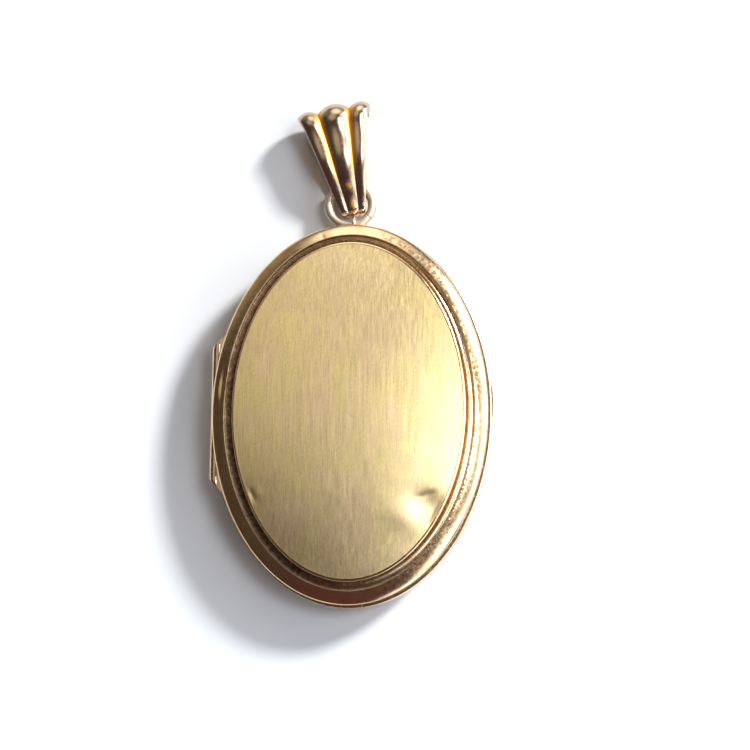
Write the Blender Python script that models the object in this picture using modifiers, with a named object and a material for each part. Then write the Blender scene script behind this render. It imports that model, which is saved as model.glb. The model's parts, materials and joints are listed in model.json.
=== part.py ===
"""Oval hinged picture locket with a fluted bail, lying closed on its back.

The flat back panel's centre is the origin, +Z is the front cover's outward
direction, +Y runs along the oval towards the bail, and the hinge is at -X.
Sizes are written in millimetres and turned into metres as each mesh is made.
"""

import math

import bmesh
import bpy
from mathutils import Matrix, Vector

MM = 0.001

# Body: two dished halves that meet at the parting plane.
HALF_WIDTH = 12.31
HALF_LENGTH = 17.20
PARTING_Z = 2.35
PARTING_GAP = 0.025
SHELL_WALL = 0.30
SEGMENTS = 48

# Heights below are measured from the parting plane into either half.
RIM_DEPTH = 0.55
WALL_TOP = 1.15
SOLDER_GAP = 0.02

# Border of each cover: a rounded bead, a cove, then the edge of the panel.
BEAD_WIDTH = 1.17
BEAD_HEIGHT = 0.66
COVE_INSET = 1.25
COVE_WIDTH = 0.67
COVE_HEIGHT = 0.68
COVE_FLOOR = 0.37
PANEL_STEP_WIDTH = 0.24
PANEL_STEP_HEIGHT = 0.15
PANEL_DOME = 1.00
DOME_SHARES = (0.90, 0.76, 0.60, 0.42, 0.22)

# Rim plates stand a little proud of the covers, most of all at the opening side.
RIM_GROWTH = (0.20, 0.12)
RIM_SHIFT = (0.12, -0.07)
RIM_OPENING_INSET = 2.50

# Closing band on the back half, which the front rim closes over.
BAND_INSET = 2.56
BAND_WALL = 0.18
BAND_HEIGHT_IN_FRONT = 0.45
CATCH_HEIGHT = 0.035
CATCH_HALF_LENGTH = 0.9

# Picture compartment of each half.
FRAME_INSET = 2.86
FRAME_WALL = 0.20
FRAME_FLANGE = 0.80
FRAME_TOP = 0.06
FRAME_FLANGE_DEPTH = 0.24
FRAME_BOTTOM = 0.84
GLASS_INSET = 3.12
GLASS_DEPTHS = (0.30, 0.56)
CARD_DEPTHS = (0.60, 0.80)
LINER_INSET = 0.45
LINER_DEPTHS = (0.87, 1.05)

# Hinge: a mitred three-knuckle barrel along the left edge.
HINGE_X = -12.03
BARREL_RADIUS = 0.55
CHANNEL_RADIUS = 0.585
BORE_RADIUS = 0.275
PIN_RADIUS = 0.25
PIN_HALF_LENGTH = 6.35
KNUCKLE_SPLIT = 2.38
KNUCKLE_GAP = 0.03
MITRE_OUTER_Y = 5.95
MITRE_INNER_Y = 7.10
TAB_HALF_LENGTHS = (6.15, 7.55)
TAB_REACH = (-0.30, 1.10)

# Thumb lip on the front rim, opposite the hinge.
LIP_CENTRE_Y = 0.6
LIP_HALF_LENGTH = 2.05
LIP_STAND_OUT = 0.30
LIP_DEPTHS = (0.10, 0.50)

# Eye soldered to the back half, jump ring through it, bail on the ring.
EYE_WIRE_RADIUS = 0.17
EYE_BEND_RADIUS = 0.64
EYE_Z = 1.42
RING_WIRE_RADIUS = 0.40
RING_RADIUS = 2.0
RING_CLEARANCE = 0.03
RING_TILT = math.radians(6.5)
RING_JOINT_ANGLE = math.radians(-47)
RING_JOINT_GAP = 0.20
LEAN = math.radians(11.5)

BAIL_FOLD_RADIUS = 1.75
BAIL_TIP_RADIUS = 0.83
BAIL_CROWN = 0.45
BAIL_LENGTH = 10.75
BAIL_TOP_HALF_WIDTH = 3.4
BAIL_TIP_HALF_WIDTH = 1.02
BAIL_SHEET = 0.30
BAIL_TIP_PAST_RING_CENTRE = 1.1
BAIL_SIDE_SHIFT = 0.18
FLUTE_DEPTH = 0.70
FLUTE_SIDE_HEIGHT = 0.64
MIDDLE_FLUTE_SHARE = 0.43

BODY_OVAL = (HALF_WIDTH, HALF_LENGTH, 0.0, 0.0)
RIM_OVAL = (
    HALF_WIDTH + RIM_GROWTH[0],
    HALF_LENGTH + RIM_GROWTH[1],
    RIM_SHIFT[0],
    RIM_SHIFT[1],
)


# ---------------------------------------------------------------- scene set-up
def clear_scene():
    for obj in list(bpy.data.objects):
        bpy.data.objects.remove(obj, do_unlink=True)


def make_collection(name):
    collection = bpy.data.collections.new(name)
    bpy.context.scene.collection.children.link(collection)
    return collection


def make_material(name, colour, roughness, metallic):
    material = bpy.data.materials.new(name)
    material.use_nodes = True
    shader = material.node_tree.nodes["Principled BSDF"]
    shader.inputs["Base Color"].default_value = (*colour, 1.0)
    shader.inputs["Roughness"].default_value = roughness
    shader.inputs["Metallic"].default_value = metallic
    return material


def finish_mesh(name, bm, material, collection):
    """Turns a bmesh in millimetres into an object in metres."""
    bmesh.ops.scale(bm, vec=(MM, MM, MM), verts=bm.verts)
    mesh = bpy.data.meshes.new(name)
    bm.to_mesh(mesh)
    bm.free()
    mesh.shade_smooth()
    mesh.set_sharp_from_angle(angle=math.radians(35))
    obj = bpy.data.objects.new(name, mesh)
    collection.objects.link(obj)
    if material:
        mesh.materials.append(material)
    return obj


def make_cutter(name, bm):
    cutter = finish_mesh(name, bm, None, CUTTERS)
    cutter.hide_render = True
    cutter.display_type = "WIRE"
    return cutter


def boolean(obj, cutter, operation):
    modifier = obj.modifiers.new(f"{operation.lower()} {cutter.name}", "BOOLEAN")
    modifier.object = cutter
    modifier.operation = operation
    modifier.solver = "EXACT"


def make_pivot(name, place_mm, rotation=None):
    """An empty on a joint's axis, which the moving pieces are parented to."""
    pivot = bpy.data.objects.new(name, None)
    pivot.empty_display_size = 2 * MM
    PARTS.objects.link(pivot)
    turned = rotation.to_4x4() if rotation else Matrix.Identity(4)
    pivot.matrix_world = Matrix.Translation(Vector(place_mm) * MM) @ turned
    return pivot


def hang_on(obj, pivot):
    """Parents obj to the pivot without moving it."""
    obj.parent = pivot
    obj.matrix_parent_inverse = pivot.matrix_world.inverted()


# ---------------------------------------------------------------- oval shapes
def oval_point(oval, inset, turn):
    """A point on the curve that runs inset millimetres inside the oval."""
    half_width, half_length, centre_x, centre_y = oval
    x = half_width * math.cos(turn)
    y = half_length * math.sin(turn)
    normal = Vector((half_length * math.cos(turn), half_width * math.sin(turn)))
    normal.normalize()
    return centre_x + x - inset * normal.x, centre_y + y - inset * normal.y


def oval_loop(bm, oval, inset, height):
    turns = [2 * math.pi * (i + 0.5) / SEGMENTS for i in range(SEGMENTS)]
    return [bm.verts.new((*oval_point(oval, inset, turn), height)) for turn in turns]


def bridge(bm, first, second):
    """Joins two loops of the same count with a band of quads."""
    for i in range(len(first)):
        j = (i + 1) % len(first)
        bm.faces.new((first[i], first[j], second[j], second[i]))


def arc(centre, radii, start_deg, end_deg, steps):
    """Points of an elliptical arc, as (inset, height) pairs."""
    angles = [start_deg + (end_deg - start_deg) * i / steps for i in range(steps + 1)]
    return [
        (
            centre[0] + radii[0] * math.cos(math.radians(a)),
            centre[1] + radii[1] * math.sin(math.radians(a)),
        )
        for a in angles
    ]


def swept_solid(bm, section, oval=BODY_OVAL):
    """A closed section of (inset, height) points carried round the oval."""
    loops = [oval_loop(bm, oval, inset, height) for inset, height in section]
    for k in range(len(loops)):
        bridge(bm, loops[k], loops[(k + 1) % len(loops)])


def oval_disc(bm, inset, depths, oval=BODY_OVAL):
    low = oval_loop(bm, oval, inset, depths[0])
    high = oval_loop(bm, oval, inset, depths[1])
    bridge(bm, low, high)
    bm.faces.new(high)
    bm.faces.new(low)


def into_half(bm, side):
    """Moves depths measured from the parting plane to the front or back half."""
    bmesh.ops.scale(bm, vec=(1, 1, side), verts=bm.verts)
    bmesh.ops.translate(bm, vec=(0, 0, PARTING_Z), verts=bm.verts)
    if side < 0:
        bmesh.ops.reverse_faces(bm, faces=bm.faces)


# ---------------------------------------------------------------- body pieces
def cover_profile():
    """Outer surface of a cover, from the foot of its wall to its panel's edge."""
    cove_top = WALL_TOP + COVE_FLOOR + COVE_HEIGHT
    step_inset = COVE_INSET + COVE_WIDTH + PANEL_STEP_WIDTH
    profile = [(0.0, RIM_DEPTH + SOLDER_GAP)]
    for share in (0.0, 0.03, 0.12, 0.3, 0.6, 1.0):
        rise = BEAD_HEIGHT * share**0.62
        profile.append((BEAD_WIDTH * share, WALL_TOP + rise))
    profile.append((COVE_INSET - 0.045, WALL_TOP + BEAD_HEIGHT - 0.06))
    profile += arc((COVE_INSET, cove_top), (COVE_WIDTH, COVE_HEIGHT), 270, 350, 3)
    profile += arc(
        (step_inset, PARTING_Z - PANEL_STEP_HEIGHT),
        (PANEL_STEP_WIDTH, PANEL_STEP_HEIGHT),
        180,
        90,
        2,
    )
    return profile


def make_cover_shell(name, side, dome):
    bm = bmesh.new()
    loops = [oval_loop(bm, BODY_OVAL, *point) for point in cover_profile()]
    panel_edge = loops[-1]
    for share in DOME_SHARES if dome else ():
        lift = Vector((0, 0, dome * (1 - share**2)))
        squeeze = Vector((share, share, 1))
        loops.append([bm.verts.new(vert.co * squeeze + lift) for vert in panel_edge])
    for lower, upper in zip(loops, loops[1:]):
        bridge(bm, lower, upper)
    bm.faces.new(loops[-1])
    into_half(bm, side)
    shell = finish_mesh(name, bm, GOLD, PARTS)
    solid = shell.modifiers.new("sheet thickness", "SOLIDIFY")
    solid.thickness = SHELL_WALL * MM
    solid.offset = -1
    return shell


def make_rim_plate(name, side):
    """Flat ring with a shoulder for the hinge, hollowed along the barrel."""
    bm = bmesh.new()
    outer_low = oval_loop(bm, RIM_OVAL, 0, PARTING_GAP)
    outer_high = oval_loop(bm, RIM_OVAL, 0, RIM_DEPTH)
    inner_high = oval_loop(bm, BODY_OVAL, RIM_OPENING_INSET, RIM_DEPTH)
    inner_low = oval_loop(bm, BODY_OVAL, RIM_OPENING_INSET, PARTING_GAP)
    loops = (outer_low, outer_high, inner_high, inner_low)
    for k in range(4):
        bridge(bm, loops[k], loops[(k + 1) % 4])
    into_half(bm, side)
    rim = finish_mesh(name, bm, GOLD, PARTS)
    boolean(rim, HINGE_SHOULDERS[side], "UNION")
    boolean(rim, HINGE_CHANNEL, "DIFFERENCE")
    boolean(rim, HINGE_RELIEF, "DIFFERENCE")
    return rim


def make_hinge_shoulder(side):
    """Straight trapezoid that carries the barrel past the oval's curve."""
    bm = bmesh.new()
    outer_y, inner_y = TAB_HALF_LENGTHS
    outline = [
        (HINGE_X + TAB_REACH[0], -outer_y),
        (HINGE_X + TAB_REACH[1], -inner_y),
        (HINGE_X + TAB_REACH[1], inner_y),
        (HINGE_X + TAB_REACH[0], outer_y),
    ]
    base = bm.faces.new([bm.verts.new((x, y, PARTING_GAP)) for x, y in outline])
    grown = bmesh.ops.extrude_face_region(bm, geom=[base])
    raised = [item for item in grown["geom"] if isinstance(item, bmesh.types.BMVert)]
    bmesh.ops.translate(bm, vec=(0, 0, RIM_DEPTH - PARTING_GAP), verts=raised)
    into_half(bm, side)
    bmesh.ops.recalc_face_normals(bm, faces=bm.faces)
    return make_cutter("hinge_shoulder_front" if side > 0 else "hinge_shoulder_back", bm)


def make_picture_frame(name, side):
    """L-section ring: a wall down beside the glass and a flange over its edge."""
    flange_inset = FRAME_INSET + FRAME_FLANGE
    wall_inset = FRAME_INSET + FRAME_WALL
    section = [
        (FRAME_INSET, FRAME_BOTTOM),
        (FRAME_INSET, FRAME_TOP + 0.08),
        (FRAME_INSET + 0.10, FRAME_TOP),
        (flange_inset - 0.16, FRAME_TOP),
        (flange_inset, FRAME_FLANGE_DEPTH),
        (wall_inset, FRAME_FLANGE_DEPTH + 0.02),
        (wall_inset, FRAME_BOTTOM),
    ]
    bm = bmesh.new()
    swept_solid(bm, section)
    into_half(bm, side)
    bmesh.ops.recalc_face_normals(bm, faces=bm.faces)
    return finish_mesh(name, bm, GOLD, PARTS)


def make_oval_sheet(name, side, inset, depths, material):
    bm = bmesh.new()
    oval_disc(bm, inset, depths)
    into_half(bm, side)
    bmesh.ops.recalc_face_normals(bm, faces=bm.faces)
    return finish_mesh(name, bm, material, PARTS)


def make_closing_band():
    """Thin upright band inside the back rim, rounded at its top edge."""
    inner = BAND_INSET + BAND_WALL
    crown = PARTING_Z + BAND_HEIGHT_IN_FRONT
    foot = PARTING_Z - RIM_DEPTH
    section = [
        (BAND_INSET, foot),
        (BAND_INSET, crown - 0.08),
        (BAND_INSET + 0.06, crown),
        (inner - 0.06, crown),
        (inner, crown - 0.08),
        (inner, foot),
    ]
    bm = bmesh.new()
    swept_solid(bm, section)
    bmesh.ops.recalc_face_normals(bm, faces=bm.faces)
    band = finish_mesh("closing_band", bm, GOLD, PARTS)
    boolean(band, make_catch_ridge(), "UNION")
    return band


def make_catch_ridge():
    """Low ridge on the band's outside, opposite the hinge, that snaps the cover."""
    bm = bmesh.new()
    depth = 0.1
    band_face_x = oval_point(BODY_OVAL, BAND_INSET, math.pi / SEGMENTS)[0]
    centre_x = band_face_x + CATCH_HEIGHT - depth / 2
    bmesh.ops.create_cube(bm, size=1.0)
    bmesh.ops.scale(bm, vec=(depth, 2 * CATCH_HALF_LENGTH, 0.12), verts=bm.verts)
    bmesh.ops.translate(bm, vec=(centre_x, 0, PARTING_Z + 0.25), verts=bm.verts)
    return make_cutter("catch_ridge", bm)


# ---------------------------------------------------------------- hinge pieces
def cylinder_along_y(bm, radius, y_low, y_high, segments):
    turned = Matrix.Rotation(math.radians(90), 4, "X")
    placed = Matrix.Translation((HINGE_X, (y_low + y_high) / 2, PARTING_Z)) @ turned
    bmesh.ops.create_cone(
        bm,
        cap_ends=True,
        segments=segments,
        radius1=radius,
        radius2=radius,
        depth=y_high - y_low,
        matrix=placed,
    )


def make_mitre_cutter():
    """Two wedges that slant the ends of the barrel towards the body."""
    bm = bmesh.new()
    run = 2 * BARREL_RADIUS
    angle = math.atan2(MITRE_INNER_Y - MITRE_OUTER_Y, run)
    middle_y = (MITRE_OUTER_Y + MITRE_INNER_Y) / 2
    size = 3.0
    for end in (1, -1):
        made = bmesh.ops.create_cube(bm, size=size)["verts"]
        bmesh.ops.translate(bm, vec=(0, end * size / 2, 0), verts=made)
        turned = Matrix.Rotation(end * angle, 3, "Z")
        bmesh.ops.rotate(bm, cent=(0, 0, 0), matrix=turned, verts=made)
        bmesh.ops.translate(bm, vec=(HINGE_X, end * middle_y, PARTING_Z), verts=made)
    return make_cutter("barrel_mitre", bm)


def make_knuckle(name, y_low, y_high):
    bm = bmesh.new()
    cylinder_along_y(bm, BARREL_RADIUS, y_low, y_high, 24)
    knuckle = finish_mesh(name, bm, GOLD, PARTS)
    boolean(knuckle, HINGE_BORE, "DIFFERENCE")
    if max(abs(y_low), abs(y_high)) > MITRE_OUTER_Y:
        boolean(knuckle, BARREL_MITRE, "DIFFERENCE")
    return knuckle


def make_hinge_cutter(name, radius, segments):
    bm = bmesh.new()
    cylinder_along_y(bm, radius, -9.0, 9.0, segments)
    return make_cutter(name, bm)


def make_hinge_relief():
    """Block outside the hinge axis, which the rim plates stay clear of."""
    bm = bmesh.new()
    depth = 2.0
    bmesh.ops.create_cube(bm, size=1.0)
    bmesh.ops.scale(bm, vec=(depth, 18, 4), verts=bm.verts)
    centre = (HINGE_X - depth / 2, 0, PARTING_Z)
    bmesh.ops.translate(bm, vec=centre, verts=bm.verts)
    return make_cutter("hinge_relief", bm)


def make_hinge_pin():
    bm = bmesh.new()
    cylinder_along_y(bm, PIN_RADIUS, -PIN_HALF_LENGTH, PIN_HALF_LENGTH, 16)
    return finish_mesh("hinge_pin", bm, STEEL, PARTS)


def make_thumb_lip():
    """Crescent on the edge of the front rim for a thumb nail."""
    bm = bmesh.new()
    edge_x = RIM_OVAL[0] + RIM_OVAL[2]
    reach = 1.0
    bmesh.ops.create_cone(
        bm,
        cap_ends=True,
        segments=32,
        radius1=1,
        radius2=1,
        depth=LIP_DEPTHS[1] - LIP_DEPTHS[0],
    )
    stretch = (reach, LIP_HALF_LENGTH * 1.35, 1)
    bmesh.ops.scale(bm, vec=stretch, verts=bm.verts)
    middle_z = PARTING_Z + sum(LIP_DEPTHS) / 2
    centre = (edge_x + LIP_STAND_OUT - reach, LIP_CENTRE_Y, middle_z)
    bmesh.ops.translate(bm, vec=centre, verts=bm.verts)
    lip = finish_mesh("thumb_lip", bm, GOLD, PARTS)
    cutter_bm = bmesh.new()
    oval_disc(cutter_bm, -SOLDER_GAP - 0.01, (0.0, 1.0), RIM_OVAL)
    into_half(cutter_bm, 1)
    bmesh.ops.recalc_face_normals(cutter_bm, faces=cutter_bm.faces)
    boolean(lip, make_cutter("rim_outline", cutter_bm), "DIFFERENCE")
    return lip


# ---------------------------------------------------------------- suspension
def make_wire(name, points_mm, radius, material):
    """A wire through the points, as a bevelled curve with filled ends."""
    curve = bpy.data.curves.new(name, "CURVE")
    curve.dimensions = "3D"
    curve.bevel_depth = radius * MM
    curve.bevel_resolution = 3
    curve.use_fill_caps = True
    spline = curve.splines.new("POLY")
    spline.points.add(len(points_mm) - 1)
    for point, place in zip(spline.points, points_mm):
        point.co = (*(Vector(place) * MM), 1)
    curve.materials.append(material)
    obj = bpy.data.objects.new(name, curve)
    PARTS.objects.link(obj)
    return obj


def eye_pivot():
    """Centre of the eye's hole, where the ring's wire passes."""
    rim_top = RIM_OVAL[1] + RIM_OVAL[3]
    return Vector((0, rim_top + RING_WIRE_RADIUS + RING_CLEARANCE, EYE_Z))


def make_eye():
    """U-shaped staple whose two feet meet the back half's edge."""
    pivot = eye_pivot()
    bends = 8
    bow = []
    for i in range(bends + 1):
        angle = math.pi * (i / bends - 0.5)
        y = pivot.y + EYE_BEND_RADIUS * math.cos(angle)
        bow.append((0, y, EYE_Z + EYE_BEND_RADIUS * math.sin(angle)))
    lower_foot = (0, HALF_LENGTH - 0.10, EYE_Z - EYE_BEND_RADIUS)
    upper_foot = (0, pivot.y - RING_WIRE_RADIUS, EYE_Z + EYE_BEND_RADIUS)
    return make_wire("pendant_eye", [lower_foot, *bow, upper_foot], EYE_WIRE_RADIUS, GOLD)


def ring_rotation():
    return Matrix.Rotation(-RING_TILT, 3, "X") @ Matrix.Rotation(LEAN, 3, "Z")


def ring_centre():
    return eye_pivot() + ring_rotation() @ Vector((0, RING_RADIUS, 0))


def make_jump_ring():
    """Round wire ring, cut open at its lower right, with its origin in the eye."""
    gap_angle = RING_JOINT_GAP / RING_RADIUS
    steps = 30
    sweep = 2 * math.pi - gap_angle
    points = []
    for i in range(steps + 1):
        angle = RING_JOINT_ANGLE + gap_angle / 2 + sweep * i / steps
        x = RING_RADIUS * math.cos(angle)
        points.append((x, RING_RADIUS + RING_RADIUS * math.sin(angle), 0))
    ring = make_wire("jump_ring", points, RING_WIRE_RADIUS, GOLD)
    placed = Matrix.Translation(eye_pivot() * MM)
    ring.matrix_world = placed @ ring_rotation().to_4x4()
    return ring


def bail_path():
    """Side view of the bail's outside, tip to fold and back: (along, up, normal)."""
    span = BAIL_LENGTH - BAIL_FOLD_RADIUS - BAIL_TIP_RADIUS
    slope = math.asin((BAIL_FOLD_RADIUS - BAIL_TIP_RADIUS) / span)
    tangent = math.pi / 2 + slope
    stations = []
    for i in range(5):
        stations.append((0.0, BAIL_TIP_RADIUS, math.pi + (tangent - math.pi) * i / 4))
    for i in range(1, 6):
        share = i / 6
        radius = BAIL_TIP_RADIUS + (BAIL_FOLD_RADIUS - BAIL_TIP_RADIUS) * share
        radius += BAIL_CROWN * math.sin(math.pi * share**1.1) ** 2
        stations.append((span * share, radius, tangent))
    for i in range(9):
        stations.append((span, BAIL_FOLD_RADIUS, tangent * (1 - i / 4)))
    for i in range(1, 6):
        share = 1 - i / 6
        radius = BAIL_TIP_RADIUS + (BAIL_FOLD_RADIUS - BAIL_TIP_RADIUS) * share
        stations.append((span * share, radius, -tangent))
    for i in range(5):
        stations.append((0.0, BAIL_TIP_RADIUS, -tangent + (tangent - math.pi) * i / 4))
    return stations


def flute_height(across):
    """Height of the fluted section, 1 on the middle crest and 0 in a groove."""
    share = MIDDLE_FLUTE_SHARE
    if abs(across) <= share:
        return math.cos(math.pi / 2 * across / share)
    side = (abs(across) - (1 + share) / 2) / ((1 - share) / 2)
    return FLUTE_SIDE_HEIGHT * math.cos(math.pi / 2 * side)


def flute_stations():
    """Positions across the strip, with one on each groove and crest."""
    share = MIDDLE_FLUTE_SHARE
    middle = [share * i / 3 for i in range(-3, 4)]
    side = [share + (1 - share) * i / 4 for i in range(1, 5)]
    return [-s for s in reversed(side)] + middle + side


def bail_half_width(along):
    share = (along + BAIL_TIP_RADIUS) / BAIL_LENGTH
    return BAIL_TIP_HALF_WIDTH + (BAIL_TOP_HALF_WIDTH - BAIL_TIP_HALF_WIDTH) * share


def bail_point(station, across):
    centre, radius, angle = station
    along = centre + radius * math.cos(angle)
    half_width = bail_half_width(along)
    depth = FLUTE_DEPTH * (half_width / BAIL_TOP_HALF_WIDTH) ** 1.6
    reach = radius - depth * (1 - flute_height(across))
    x = across * half_width
    return Vector((x, centre + reach * math.cos(angle), reach * math.sin(angle)))


def make_bail():
    """Fluted strip folded over at its wide end and soldered at its tip."""
    bm = bmesh.new()
    rows = []
    for station in bail_path()[:-1]:
        rows.append([bm.verts.new(bail_point(station, v)) for v in flute_stations()])
    for k in range(len(rows)):
        here, following = rows[k], rows[(k + 1) % len(rows)]
        for i in range(len(here) - 1):
            bm.faces.new((here[i], following[i], following[i + 1], here[i + 1]))
    bmesh.ops.recalc_face_normals(bm, faces=bm.faces)
    bail = finish_mesh("bail", bm, GOLD, PARTS)
    solid = bail.modifiers.new("sheet thickness", "SOLIDIFY")
    solid.thickness = BAIL_SHEET * MM
    solid.offset = -1
    span = BAIL_LENGTH - BAIL_FOLD_RADIUS - BAIL_TIP_RADIUS
    rise = math.asin((BAIL_FOLD_RADIUS - BAIL_TIP_RADIUS) / span)
    lean = Matrix.Rotation(LEAN, 3, "Z")
    tip_offset = lean @ Vector(
        (BAIL_SIDE_SHIFT, BAIL_TIP_RADIUS - BAIL_TIP_PAST_RING_CENTRE, 0)
    )
    place = ring_centre() + tip_offset
    place.z = BAIL_TIP_RADIUS + 0.01
    turned = lean @ Matrix.Rotation(rise, 3, "X")
    bail.matrix_world = Matrix.Translation(place * MM) @ turned.to_4x4()
    return bail


# ---------------------------------------------------------------- the assembly
clear_scene()
PARTS = make_collection("locket")
CUTTERS = make_collection("cutters")
GOLD = make_material("rolled gold", (0.72, 0.52, 0.28), 0.22, 1.0)
STEEL = make_material("hinge wire", (0.62, 0.50, 0.34), 0.35, 1.0)
GLASS = make_material("crystal", (0.90, 0.93, 0.92), 0.05, 0.0)
CARD = make_material("picture card", (0.80, 0.75, 0.66), 0.85, 0.0)

HINGE_SHOULDERS = {side: make_hinge_shoulder(side) for side in (1, -1)}
HINGE_CHANNEL = make_hinge_cutter("hinge_channel", CHANNEL_RADIUS, 24)
HINGE_BORE = make_hinge_cutter("hinge_bore", BORE_RADIUS, 16)
HINGE_RELIEF = make_hinge_relief()
BARREL_MITRE = make_mitre_cutter()

cover_hinge = make_pivot("cover_hinge_axis", (HINGE_X, 0, PARTING_Z))
ring_pivot = make_pivot("ring_swing_axis", eye_pivot())
bail_pivot = make_pivot("bail_sway_axis", ring_centre(), ring_rotation())

for side, half, dome in ((1, "front", PANEL_DOME), (-1, "back", 0.0)):
    pieces = [
        make_cover_shell(f"{half}_cover_shell", side, dome),
        make_rim_plate(f"{half}_rim_plate", side),
        make_picture_frame(f"{half}_picture_frame", side),
        make_oval_sheet(f"{half}_glass", side, GLASS_INSET, GLASS_DEPTHS, GLASS),
        make_oval_sheet(f"{half}_picture_card", side, GLASS_INSET, CARD_DEPTHS, CARD),
        make_oval_sheet(f"{half}_liner_plate", side, LINER_INSET, LINER_DEPTHS, GOLD),
    ]
    if side > 0:
        for piece in pieces:
            hang_on(piece, cover_hinge)

make_closing_band()
barrel_end = MITRE_INNER_Y + 0.4
make_knuckle("hinge_knuckle_top", KNUCKLE_SPLIT, barrel_end)
make_knuckle("hinge_knuckle_bottom", -barrel_end, -KNUCKLE_SPLIT)
middle_reach = KNUCKLE_SPLIT - KNUCKLE_GAP
hang_on(make_knuckle("hinge_knuckle_middle", -middle_reach, middle_reach), cover_hinge)
make_hinge_pin()
hang_on(make_thumb_lip(), cover_hinge)

make_eye()
hang_on(make_jump_ring(), ring_pivot)
hang_on(make_bail(), bail_pivot)
hang_on(bail_pivot, ring_pivot)
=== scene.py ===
"""An old rolled-gold picture locket, lying closed on a pale surface.

Every piece is rebuilt finely over its CAD node, in the frame's own metres.
Lengths below are millimetres until a mesh is made.
"""

import json
import math

import bmesh
import bpy
import numpy as np
from mathutils import Matrix, Vector


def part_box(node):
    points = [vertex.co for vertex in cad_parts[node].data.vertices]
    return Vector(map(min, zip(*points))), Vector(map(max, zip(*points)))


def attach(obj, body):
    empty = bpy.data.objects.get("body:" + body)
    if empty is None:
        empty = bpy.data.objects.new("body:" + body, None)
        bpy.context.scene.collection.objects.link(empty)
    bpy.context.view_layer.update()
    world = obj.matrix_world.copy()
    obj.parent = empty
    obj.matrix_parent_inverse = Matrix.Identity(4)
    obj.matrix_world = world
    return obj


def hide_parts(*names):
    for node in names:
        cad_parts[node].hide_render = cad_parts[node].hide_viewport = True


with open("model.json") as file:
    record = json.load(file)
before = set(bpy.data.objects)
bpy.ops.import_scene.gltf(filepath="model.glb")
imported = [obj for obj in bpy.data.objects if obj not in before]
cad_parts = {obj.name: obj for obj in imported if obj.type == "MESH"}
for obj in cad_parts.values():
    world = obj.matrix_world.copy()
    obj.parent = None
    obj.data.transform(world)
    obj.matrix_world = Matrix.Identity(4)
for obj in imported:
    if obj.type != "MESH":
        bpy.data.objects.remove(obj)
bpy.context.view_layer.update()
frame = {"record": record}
MM = 0.001

# ------------------------------------------------------------ sizes from the frame
CAD_FACET = math.cos(math.pi / 48)


def box_mm(node):
    low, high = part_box(node)
    return Vector(low) / MM, Vector(high) / MM


def joint_place(name):
    for joint in frame["record"]["behaviour"]["joints"]:
        if joint["name"] == name:
            return Vector(joint["pos_m"]) / MM
    raise ValueError(name)


_, shell_high = box_mm("front_cover_shell")
HALF_WIDTH = shell_high.x / CAD_FACET
HALF_LENGTH = shell_high.y / CAD_FACET
HINGE = joint_place("cover_hinge")
PARTING_Z = HINGE.z
EYE = joint_place("ring_swing")
RING_CENTRE = joint_place("bail_sway")
# An oval is its half width, half length and centre.
BODY_OVAL = (HALF_WIDTH, HALF_LENGTH, 0.0, 0.0)
RIM_OVAL = (HALF_WIDTH + 0.20, HALF_LENGTH + 0.12, 0.12, -0.07)

PARTING_GAP = 0.025
SHELL_WALL = 0.30
# The wall's foot is tucked in beside the hinge, clear of the other cover when open.
FOOT_TOP = 0.7
FOOT_TUCK = 0.08
FOOT_TUCK_REACH = 1.6
RIM_DEPTH = 0.55
WALL_TOP = 1.15
BEAD_WIDTH = 1.17
BEAD_HEIGHT = 0.66
COVE_INSET = 1.25
COVE_WIDTH = 0.67
COVE_HEIGHT = 0.68
COVE_FLOOR = 0.37
STEP_WIDTH = 0.24
STEP_HEIGHT = 0.15
PANEL_INSET = COVE_INSET + COVE_WIDTH + STEP_WIDTH
PANEL_DOME = shell_high.z - 2 * PARTING_Z
BARREL_RADIUS = 0.55
BARREL_REACH = 6.525
KNUCKLE_SPLIT = 2.38
KNUCKLE_GAP = 0.03
BAND_INSET = 2.56
FRAME_INSET = 2.86
GLASS_INSET = 3.12
LINER_INSET = 0.45
LEAN = math.radians(11.5)
RING_TILT = math.radians(6.5)

# ------------------------------------------------------------ mesh helpers
ROUND = 720


def make_mesh(name, points_mm, faces, material, body, node):
    mesh = bpy.data.meshes.new(name)
    points = np.asarray(points_mm, float).reshape(-1, 3) * MM
    mesh.from_pydata(points.tolist(), [], faces)
    mesh.validate()
    mesh.shade_smooth()
    obj = bpy.data.objects.new(name, mesh)
    bpy.context.scene.collection.objects.link(obj)
    dress(obj, material, body, node)
    return obj


def dress(obj, material, body, node):
    obj.data.materials.clear()
    obj.data.materials.append(material)
    if not node:
        return
    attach(obj, body)
    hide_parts(node)


def grid_faces(rows, columns, wrap_rows=False, wrap_columns=False):
    """Quads of a grid of points numbered row by row."""
    r = np.arange(rows if wrap_rows else rows - 1)
    c = np.arange(columns if wrap_columns else columns - 1)
    r, c = (axis.ravel() for axis in np.meshgrid(r, c, indexing="ij"))
    r_next, c_next = (r + 1) % rows, (c + 1) % columns
    quads = (
        r * columns + c,
        r * columns + c_next,
        r_next * columns + c_next,
        r_next * columns + c,
    )
    return np.stack(quads, axis=1).tolist()


def end_caps(rows, columns):
    """The faces that close the first and the last row of a grid."""
    first_of_last = (rows - 1) * columns
    return [list(range(columns)), list(range(rows * columns - 1, first_of_last - 1, -1))]


def full_turn(count):
    return np.linspace(0, 2 * math.pi, count, endpoint=False)


def sharpen(obj, degrees):
    obj.data.set_sharp_from_angle(angle=math.radians(degrees))


def recalculate(obj):
    bm = bmesh.new()
    bm.from_mesh(obj.data)
    bmesh.ops.recalc_face_normals(bm, faces=bm.faces)
    bm.to_mesh(obj.data)
    bm.free()


def smoothstep(low, high, value):
    share = np.clip((value - low) / (high - low), 0, 1)
    return share * share * (3 - 2 * share)


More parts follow.
